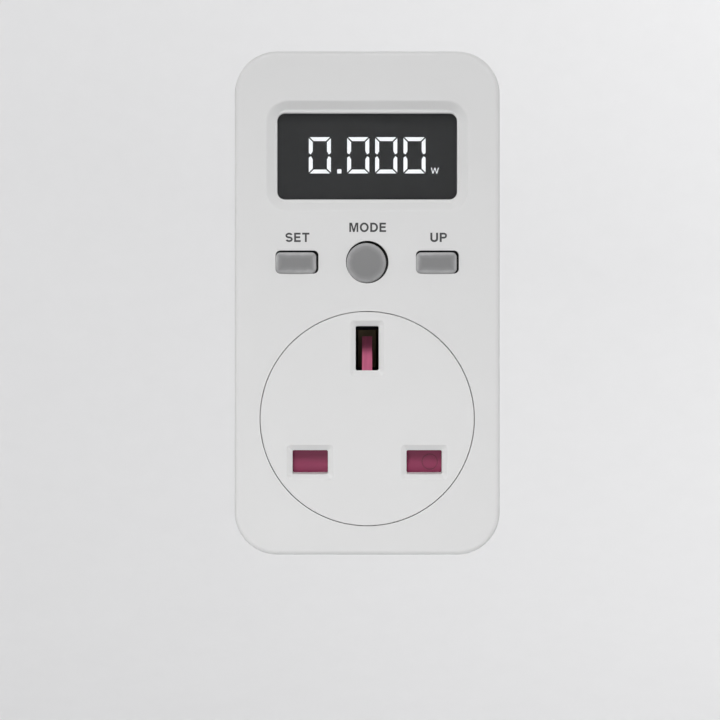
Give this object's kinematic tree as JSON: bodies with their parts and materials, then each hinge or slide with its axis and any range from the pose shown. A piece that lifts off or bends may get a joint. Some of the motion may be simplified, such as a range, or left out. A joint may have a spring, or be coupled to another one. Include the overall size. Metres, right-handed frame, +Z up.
{
  "type": "plug in power meter",
  "caption": "Plug-in power meter for BS 1363 sockets: white casing with a display, three grey buttons, a shuttered three-hole socket on the front and a three-pin plug behind.",
  "frame": {"origin": "on the rear face, midway between the live and neutral plug pins", "axes": "+X to the right seen from the front, +Y out of the rear face along the plug pins, +Z up; the front looks along -Y"},
  "size_m": [0.0516, 0.0595, 0.098],
  "materials": {
    "white_abs": "satin",
    "insert_white": "satin",
    "grey_plastic": "satin",
    "magenta_plastic": "satin",
    "clear_lens": "gloss",
    "lcd_glass": "gloss",
    "holder_black": "matte",
    "light_guide_white": "satin",
    "zebra_rubber": "matte",
    "pcb_green": "satin",
    "chip_black": "matte",
    "crystal_steel": "satin",
    "capacitor_yellow": "satin",
    "capacitor_sleeve": "satin",
    "varistor_blue": "satin",
    "resistor_green": "matte",
    "connector_black": "matte",
    "tinned_brass": "satin",
    "carrier_black": "matte",
    "contact_brass": "satin",
    "pin_brass": "satin",
    "sleeve_black": "satin",
    "shunt_alloy": "satin",
    "wire_brown": "satin",
    "wire_blue": "satin",
    "screw_steel": "satin",
    "spring_steel": "satin",
    "switch_black": "matte",
    "plunger_black": "matte",
    "label_silver": "matte"
  },
  "bodies": {
    "casing": {"backup_cell": "crystal_steel", "board_connector": "connector_black", "board_pins": "tinned_brass", "casing_screws": "screw_steel", "clamp_screws": "screw_steel", "contact_carrier": "carrier_black", "crystal": "crystal_steel", "current_shunt": "shunt_alloy", "diodes": "chip_black", "display_lens": "clear_lens", "display_pcb": "pcb_green", "display_pcb_screws": "screw_steel", "dropper_resistor": "resistor_green", "earth_contact": "contact_brass", "earth_link": "contact_brass", "earth_pin": "pin_brass", "film_capacitor": "capacitor_yellow", "front_shell": "white_abs", "lcd_holder": "holder_black", "lcd_panel": "lcd_glass", "light_guide": "light_guide_white", "live_contact": "contact_brass", "live_pin": "pin_brass", "live_sense_wire": "wire_brown", "live_sleeve": "sleeve_black", "metering_chip": "chip_black", "microcontroller": "chip_black", "mode_switch": "switch_black", "neutral_contact": "contact_brass", "neutral_link": "contact_brass", "neutral_pin": "pin_brass", "neutral_sense_wire": "wire_blue", "neutral_sleeve": "sleeve_black", "pin_clamp": "carrier_black", "power_pcb": "pcb_green", "power_pcb_screws": "screw_steel", "rating_label": "label_silver", "rear_shell": "white_abs", "set_switch": "switch_black", "shutter_spring": "spring_steel", "smoothing_capacitor": "capacitor_sleeve", "socket_face": "insert_white", "up_switch": "switch_black", "varistor": "varistor_blue", "zebra_strips": "zebra_rubber"},
    "set_button_body": {"set_button": "grey_plastic", "set_plunger": "plunger_black"},
    "mode_button_body": {"mode_button": "grey_plastic", "mode_plunger": "plunger_black"},
    "up_button_body": {"up_button": "grey_plastic", "up_plunger": "plunger_black"},
    "shutter_body": {"shutter": "magenta_plastic"}
  },
  "joints": [
    {"name": "set_press", "type": "slide", "parent": "casing", "child": "set_button_body", "axis": [0, 1, 0], "range_m": [0, 0.0005], "stiffness_N_per_m": 1000, "springref_m": -0.0008},
    {"name": "mode_press", "type": "slide", "parent": "casing", "child": "mode_button_body", "axis": [0, 1, 0], "range_m": [0, 0.0005], "stiffness_N_per_m": 1000, "springref_m": -0.0008},
    {"name": "up_press", "type": "slide", "parent": "casing", "child": "up_button_body", "axis": [0, 1, 0], "range_m": [0, 0.0005], "stiffness_N_per_m": 1000, "springref_m": -0.0008},
    {"name": "shutter_slide", "type": "slide", "parent": "casing", "child": "shutter_body", "axis": [0, 0, -1], "range_m": [0, 0.0064], "stiffness_N_per_m": 60, "springref_m": -0.006, "deforming": ["shutter_spring"]}
  ]
}
